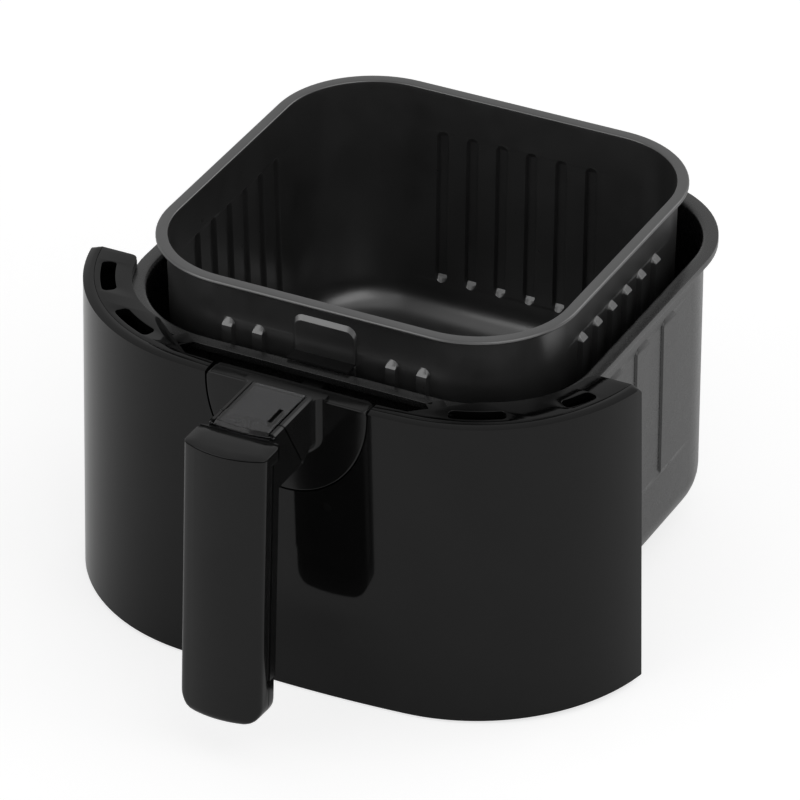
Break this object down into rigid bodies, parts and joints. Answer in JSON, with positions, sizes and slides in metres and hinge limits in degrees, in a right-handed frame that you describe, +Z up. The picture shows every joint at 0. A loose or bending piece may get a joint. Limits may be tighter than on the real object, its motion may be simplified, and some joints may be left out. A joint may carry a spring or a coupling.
{
  "type": "air_fryer_drawer",
  "caption": "Pull-out air fryer drawer: deep square pan with a curved glossy front and an upright handle, and a ribbed basket that lifts out when a guarded button is pressed",
  "frame": {"origin": "On the worktop, under the middle of the pan: the lowest face of the pan's floor is at Z 0", "axes": "+X to the right seen from the handle, +Y to the back away from the handle, +Z up"},
  "size_m": [0.2994, 0.342, 0.191],
  "materials": {
    "pan_coating": "satin dark grey non-stick coating",
    "basket_coating": "satin dark grey non-stick coating",
    "fascia_black": "gloss black",
    "deck_black": "satin black",
    "handle_black": "gloss black",
    "trim_grey": "dark grey",
    "liner_black": "matte black",
    "bracket_black": "black powder coat",
    "screw_steel": "zinc plated",
    "cover_smoked": "smoked clear plastic",
    "button_black": "satin black"
  },
  "bodies": {
    "drawer": {"outer_pan": "pan_coating", "pan_front_bracket": "bracket_black", "fascia_shell": "fascia_black", "fascia_deck_left": "deck_black", "fascia_deck_right": "deck_black", "fascia_liner": "liner_black", "fascia_base_cover": "liner_black", "fascia_screws": "screw_steel", "bracket_screws": "screw_steel", "handle_base": "handle_black", "handle_backing_plate": "bracket_black", "handle_screws": "screw_steel", "grip_front_shell": "handle_black", "grip_trim": "trim_grey", "grip_rear_shell": "handle_black", "grip_core": "screw_steel", "grip_screws": "screw_steel", "button_springs": "screw_steel"},
    "basket": {"basket_shell": "basket_coating", "basket_front_lug": "basket_coating", "basket_rear_lug": "basket_coating", "basket_rivets": "screw_steel"},
    "cover": {"slide_cover": "cover_smoked"},
    "button": {"release_button": "button_black"},
    "latch": {"latch_slider": "button_black", "latch_pin": "screw_steel"}
  },
  "joints": [
    {"name": "basket_lift", "type": "slide", "parent": "drawer", "child": "basket", "axis": [0, 0, 1], "range_m": [0, 0.13]},
    {"name": "cover_slide", "type": "slide", "parent": "drawer", "child": "cover", "axis": [0, -1, 0], "range_m": [0, 0.014]},
    {"name": "button_press", "type": "slide", "parent": "drawer", "child": "button", "axis": [0, 0, -1], "range_m": [0, 0.004], "stiffness_N_per_m": 600, "springref_m": -0.002, "deforming": ["button_springs"]},
    {"name": "latch_slide", "type": "slide", "parent": "drawer", "child": "latch", "axis": [0, -1, 0], "range_m": [0, 0.004]}
  ],
  "couplings": [
    {"joint": "latch_slide", "follows": "button_press", "ratio": 1}
  ]
}
